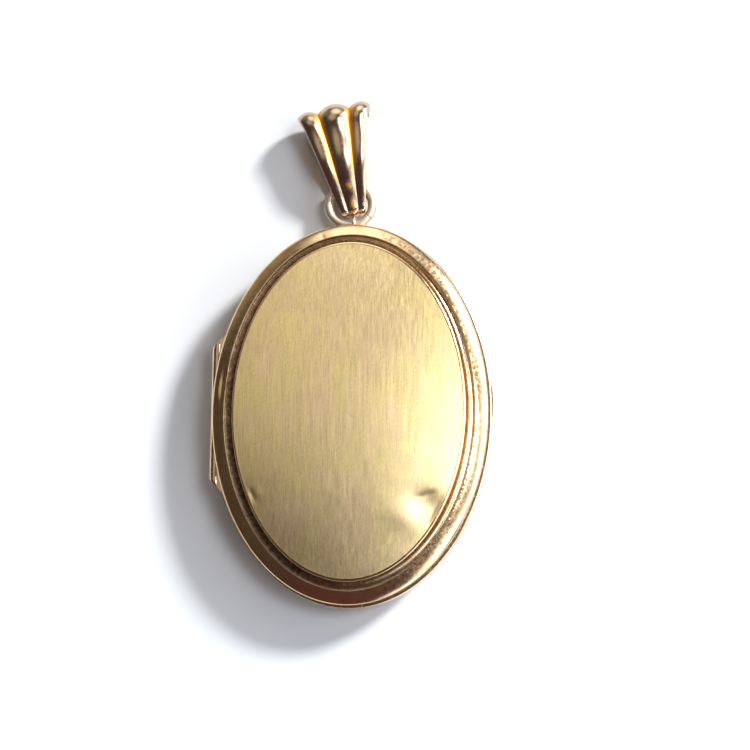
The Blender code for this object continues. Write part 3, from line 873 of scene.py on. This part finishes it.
def make_band():
    """Closing band with a rolled top edge and a low catch ridge opposite the hinge."""
    inner, top = BAND_INSET + 0.18, 0.45
    corners = [(BAND_INSET, -RIM_DEPTH), (BAND_INSET, top), (inner, top), (inner, -RIM_DEPTH)]
    turns = full_turn(ROUND)
    rows = []
    for inset, height in rounded_section(corners, 0.07):
        ridge = 0.033 * hump(height, 0.25, 0.05) if inset < BAND_INSET + 0.04 else 0.0
        x, y = oval_xy(BODY_OVAL, inset, turns)
        near = np.exp(-((y / 0.75) ** 4)) * (x > 0)
        rows.append(np.stack([x + ridge * near, y, np.full(ROUND, PARTING_Z + height)], axis=1))
    faces = grid_faces(len(rows), ROUND, True, True)
    points = np.array(rows)
    obj = make_mesh(
        "closing_band_skin", points, faces, FRAME_GOLD, "back_half", "closing_band"
    )
    recalculate(obj)
    sharpen(obj, 50)


make_band()


# ------------------------------------------------------------ wires
def tube(points, radii, around):
    """Points and faces of a round wire along a path, closed at its ends."""
    path = [Vector(p) for p in points]
    tangents = []
    for i in range(len(path)):
        ahead = path[min(i + 1, len(path) - 1)] - path[max(i - 1, 0)]
        tangents.append(ahead.normalized())
    side = tangents[0].orthogonal().normalized()
    rows = []
    for place, tangent, radius in zip(path, tangents, radii):
        side = (side - tangent * side.dot(tangent)).normalized()
        up = tangent.cross(side)
        row = []
        for k in range(around):
            angle = 2 * math.pi * k / around
            row.append(place + radius * (side * math.cos(angle) + up * math.sin(angle)))
        rows.append(row)
    grid = np.array([[tuple(p) for p in row] for row in rows])
    return grid, grid_faces(len(rows), around, False, True) + end_caps(len(rows), around)


def eased_ends(points, radius, ease):
    """Adds rounded ends: repeats the end points with shrinking radii."""
    path = [Vector(p) for p in points]
    radii = [radius] * len(path)
    for at_start in (True, False):
        tip, inner = (path[0], path[1]) if at_start else (path[-1], path[-2])
        inward = (inner - tip).normalized()
        extra, extra_radii = [], []
        for k in range(1, 5):
            angle = math.pi / 2 * k / 4
            extra.append(tip - inward * ease * math.sin(angle))
            extra_radii.append(max(radius - ease * (1 - math.cos(angle)), 0.02))
        if at_start:
            path = list(reversed(extra)) + path
            radii = list(reversed(extra_radii)) + radii
        else:
            path = path + extra
            radii = radii + extra_radii
    return path, radii


def make_eye():
    """Pendant eye: a half loop of wire with its two legs in the back rim."""
    wire, bend = 0.17, 0.64
    bow = []
    for i in range(33):
        angle = math.pi * (i / 32 - 0.5)
        bow.append((0, EYE.y + bend * math.cos(angle), EYE.z + bend * math.sin(angle)))
    lower = (0, HALF_LENGTH - 0.10, EYE.z - bend)
    upper = (0, EYE.y - 0.40, EYE.z + bend)
    path = [lower, *bow, upper]
    points, faces = tube(path, [wire] * len(path), 28)
    obj = make_mesh("pendant_eye_skin", points, faces, RIM_GOLD, "back_half", "pendant_eye")
    recalculate(obj)
    sharpen(obj, 60)


make_eye()


def make_ring():
    """Jump ring, cut open at its lower right, its two ends a little out of line."""
    wire, radius, gap = 0.40, 2.0, 0.16
    start = math.radians(-47) + gap / radius / 2
    sweep = 2 * math.pi - gap / radius
    turned = Matrix.Rotation(-RING_TILT, 3, "X") @ Matrix.Rotation(LEAN, 3, "Z")
    points = []
    steps = 220
    for i in range(steps + 1):
        share = i / steps
        angle = start + sweep * share
        spring = 0.05 * (smoothstep(0.86, 1.0, share) - smoothstep(0.14, 0.0, share) * 0.5)
        local = Vector((radius * math.cos(angle), radius * math.sin(angle), float(spring)))
        points.append(RING_CENTRE + turned @ local)
    path, radii = eased_ends(points, wire, 0.05)
    grid, faces = tube(path, radii, 40)
    obj = make_mesh("jump_ring_skin", grid, faces, RING_GOLD, "ring", "jump_ring")
    recalculate(obj)
    sharpen(obj, 50)


make_ring()

# ------------------------------------------------------------ bail
FOLD_RADIUS = 1.75
TIP_RADIUS = 0.83
BAIL_LENGTH = 10.75
TOP_HALF_WIDTH = 3.4
TIP_HALF_WIDTH = 1.02
FLUTE_DEPTH = 0.70
FLUTE_SHARE = 0.43
SIDE_HEIGHT = 0.64
SPAN = BAIL_LENGTH - FOLD_RADIUS - TIP_RADIUS
CROWN = 0.45
BAIL_SHEET = 0.30
BAIL_EDGE = 0.05


def bail_stations():
    """(place, radius, angle) round the closed strip: tip, front strand, fold, back strand, tip."""
    slope = math.asin((FOLD_RADIUS - TIP_RADIUS) / SPAN)
    tangent = math.pi / 2 + slope
    stations = []
    for i in range(12):
        stations.append((0.0, TIP_RADIUS, math.pi + (tangent - math.pi) * i / 12))
    for i in range(60):
        share = i / 60
        radius = TIP_RADIUS + (FOLD_RADIUS - TIP_RADIUS) * share
        radius += CROWN * math.sin(math.pi * share**1.1) ** 2
        stations.append((SPAN * share, radius, tangent))
    for i in range(48):
        stations.append((SPAN, FOLD_RADIUS, tangent * (1 - 2 * i / 48)))
    for i in range(60):
        share = 1 - i / 60
        stations.append((SPAN * share, TIP_RADIUS + (FOLD_RADIUS - TIP_RADIUS) * share, -tangent))
    for i in range(12):
        stations.append((0.0, TIP_RADIUS, -tangent + (tangent - math.pi) * i / 12))
    return stations


def round_flute(share):
    """A flute's section, between a cosine and a half circle."""
    return 0.45 * np.cos(math.pi / 2 * share) + 0.55 * np.sqrt(1.0001 - share**2)


def flute_height(across):
    """Height of the fluted section: 1 on the middle crest and 0 in a groove."""
    across = np.abs(across)
    middle = round_flute(np.clip(across / FLUTE_SHARE, 0, 1))
    side = (across - (1 + FLUTE_SHARE) / 2) / ((1 - FLUTE_SHARE) / 2)
    outer = SIDE_HEIGHT * round_flute(np.clip(side, -1, 1))
    return np.where(across <= FLUTE_SHARE, middle, outer)


def make_bail():
    """The fluted strip, with a map of the painted amber reflection in its grooves and of two warm painted
    reflections at the tip.
    """
    columns = 145
    across = np.linspace(-1, 1, columns)
    # The painted amber reflection follows the grooves, from a little way up the strip.
    valley = (1 - smoothstep(0.28, 0.70, flute_height(across))) * (np.abs(across) < 0.72)
    rows, groove = [], []
    for centre, radius, angle in bail_stations():
        along = centre + radius * math.cos(angle)
        half = TIP_HALF_WIDTH + (TOP_HALF_WIDTH - TIP_HALF_WIDTH) * (along + TIP_RADIUS) / BAIL_LENGTH
        depth = FLUTE_DEPTH * (half / TOP_HALF_WIDTH) ** 1.6
        reach = radius - depth * (1 - flute_height(across))
        y, z = centre + reach * math.cos(angle), reach * math.sin(angle)
        rows.append(np.stack([across * half, y, z], axis=1))
        # Two warm painted reflections at the tip, where the gold near it would show.
        tip_reflection = hump(along, 0.35, 0.45) + hump(along, 2.0, 0.35)
        warm = valley * smoothstep(1.5, 4.5, along) + tip_reflection * hump(across, 0.05, 0.16)
        groove.append(np.clip(warm, 0, 1) * (angle > 0))
    grid = np.array(rows)
    rise = math.asin((FOLD_RADIUS - TIP_RADIUS) / SPAN)
    lean = Matrix.Rotation(LEAN, 3, "Z")
    place = RING_CENTRE + lean @ Vector((0.18, TIP_RADIUS - 1.1, 0))
    place.z = TIP_RADIUS + 0.01
    turned = np.array(lean @ Matrix.Rotation(rise, 3, "X"))
    points = grid.reshape(-1, 3) @ turned.T + np.array(place)
    faces = grid_faces(len(rows), columns, True, False)
    obj = make_mesh("bail_skin", points, faces, BAIL_GOLD, "bail_loop", "bail")
    obj.data.attributes.new("groove", "FLOAT", "POINT").data.foreach_set(
        "value", np.concatenate(groove).astype(np.float32)
    )
    recalculate(obj)
    sheet = obj.modifiers.new("sheet thickness", "SOLIDIFY")
    sheet.thickness = BAIL_SHEET * MM
    sheet.offset = -1
    edge = obj.modifiers.new("eased edges", "BEVEL")
    edge.width = BAIL_EDGE * MM
    edge.segments = 2
    edge.limit_method = "ANGLE"
    edge.angle_limit = math.radians(60)


make_bail()


# ------------------------------------------------------------ floor, light and camera
FLOOR_REACH_M = 1.2
FLOOR_DROP_M = 0.00002
FLOOR_COLOUR = (0.735, 0.765, 0.81, 1)


def make_floor():
    mesh = bpy.data.meshes.new("pale_floor")
    corners = [(-1, -1), (1, -1), (1, 1), (-1, 1)]
    points = [(x * FLOOR_REACH_M, y * FLOOR_REACH_M, -FLOOR_DROP_M) for x, y in corners]
    mesh.from_pydata(points, [], [(0, 1, 2, 3)])
    floor = bpy.data.objects.new("pale_floor", mesh)
    bpy.context.scene.collection.objects.link(floor)
    material, _, shader = new_material("pale_floor")
    shader.inputs["Base Color"].default_value = FLOOR_COLOUR
    shader.inputs["Roughness"].default_value = 0.7
    shader.inputs["Specular IOR Level"].default_value = 0.2
    mesh.materials.append(material)


SKY = (0.057, 0.034, 0.036)
KEY_PLACE = (38, 27.5)
# Soft panels round the object: azimuth, elevation and radius in degrees, strength, colour.
SOFT_PANELS = (
    (11, 60, 14, 9.2, (0.97, 1.0, 1.03)),
    (128, 62, 27, 0.60, (1.0, 0.95, 0.80)),
    (132, 14, 26, 0.24, (1.0, 0.94, 0.68)),
    (175, 38, 42, 0.022, (0.55, 1.0, 0.28)),
    (262, 36, 38, 0.040, (1.0, 0.20, 0.10)),
    (90, 30, 28, 1.8, (1.0, 0.98, 0.93)),
    (5, 18, 30, 3.0, (0.88, 0.98, 1.14)),
    (308, 12, 26, 1.8, (0.84, 0.96, 1.14)),
    (330, 35, 18, 3.2, (0.98, 0.98, 0.98)),
)


def towards(azimuth, elevation):
    """The direction of a place in the sky, in degrees from +X and above the floor."""
    azimuth, elevation = math.radians(azimuth), math.radians(elevation)
    flat = math.cos(elevation)
    return Vector((flat * math.cos(azimuth), flat * math.sin(azimuth), math.sin(elevation)))


def soft_panel(tree, direction, azimuth, elevation, radius):
    """1 where a sky direction points at the panel's centre, fading to 0 at its radius."""
    dot = add(tree, "ShaderNodeVectorMath", operation="DOT_PRODUCT")
    dot.inputs[1].default_value = towards(azimuth, elevation)
    tree.links.new(direction, dot.inputs[0])
    return ranged(tree, dot.outputs["Value"], math.cos(math.radians(radius)), 1.0, 0.0, 1.0)


def make_light():
    """A low soft key lamp from the upper right and a few soft panels in a dark room."""
    world = bpy.data.worlds.new("studio")
    bpy.context.scene.world = world
    world.use_nodes = True
    tree = world.node_tree
    direction = add(tree, "ShaderNodeTexCoord").outputs["Generated"]
    total = None
    for azimuth, elevation, radius, strength, colour in SOFT_PANELS:
        scaled = add(tree, "ShaderNodeVectorMath", operation="SCALE")
        scaled.inputs[0].default_value = [strength * part for part in colour]
        tree.links.new(soft_panel(tree, direction, azimuth, elevation, radius), scaled.inputs["Scale"])
        added = add(tree, "ShaderNodeVectorMath", operation="ADD")
        added.inputs[0].default_value = SKY
        if total is not None:
            tree.links.new(total, added.inputs[0])
        tree.links.new(scaled.outputs["Vector"], added.inputs[1])
        total = added.outputs["Vector"]
    tree.links.new(total, tree.nodes["Background"].inputs["Color"])

    lamp = bpy.data.lights.new("key", "SUN")
    lamp.energy = 5.2
    lamp.angle = math.radians(10)
    lamp.color = (1.0, 0.985, 0.96)
    key = bpy.data.objects.new("key", lamp)
    bpy.context.scene.collection.objects.link(key)
    key.rotation_euler = towards(*KEY_PLACE).to_track_quat("Z", "Y").to_euler()


# Where the camera stands and looks, in metres, and its roll in radians.
CAMERA_PLACE = Vector((0.018163, -0.037661, 0.200))
CAMERA_TARGET = Vector((0.001953, 0.004020, 0.0))
CAMERA_ROLL = 0.012


def make_camera():
    """Nearly overhead, a little to the right of and below the locket."""
    camera = bpy.data.cameras.new("camera")
    camera.sensor_width = 36
    camera.lens = 108.63
    camera.clip_start = 0.01
    camera.clip_end = 5
    obj = bpy.data.objects.new("camera", camera)
    bpy.context.scene.collection.objects.link(obj)
    back = (CAMERA_PLACE - CAMERA_TARGET).normalized()
    up = Vector((-math.sin(CAMERA_ROLL), math.cos(CAMERA_ROLL), 0))
    right = up.cross(back).normalized()
    turned = Matrix((right, back.cross(right), back)).transposed().to_4x4()
    obj.matrix_world = Matrix.Translation(CAMERA_PLACE) @ turned
    bpy.context.scene.camera = obj


make_floor()
make_light()
make_camera()
bpy.context.scene.view_settings.view_transform = "Standard"
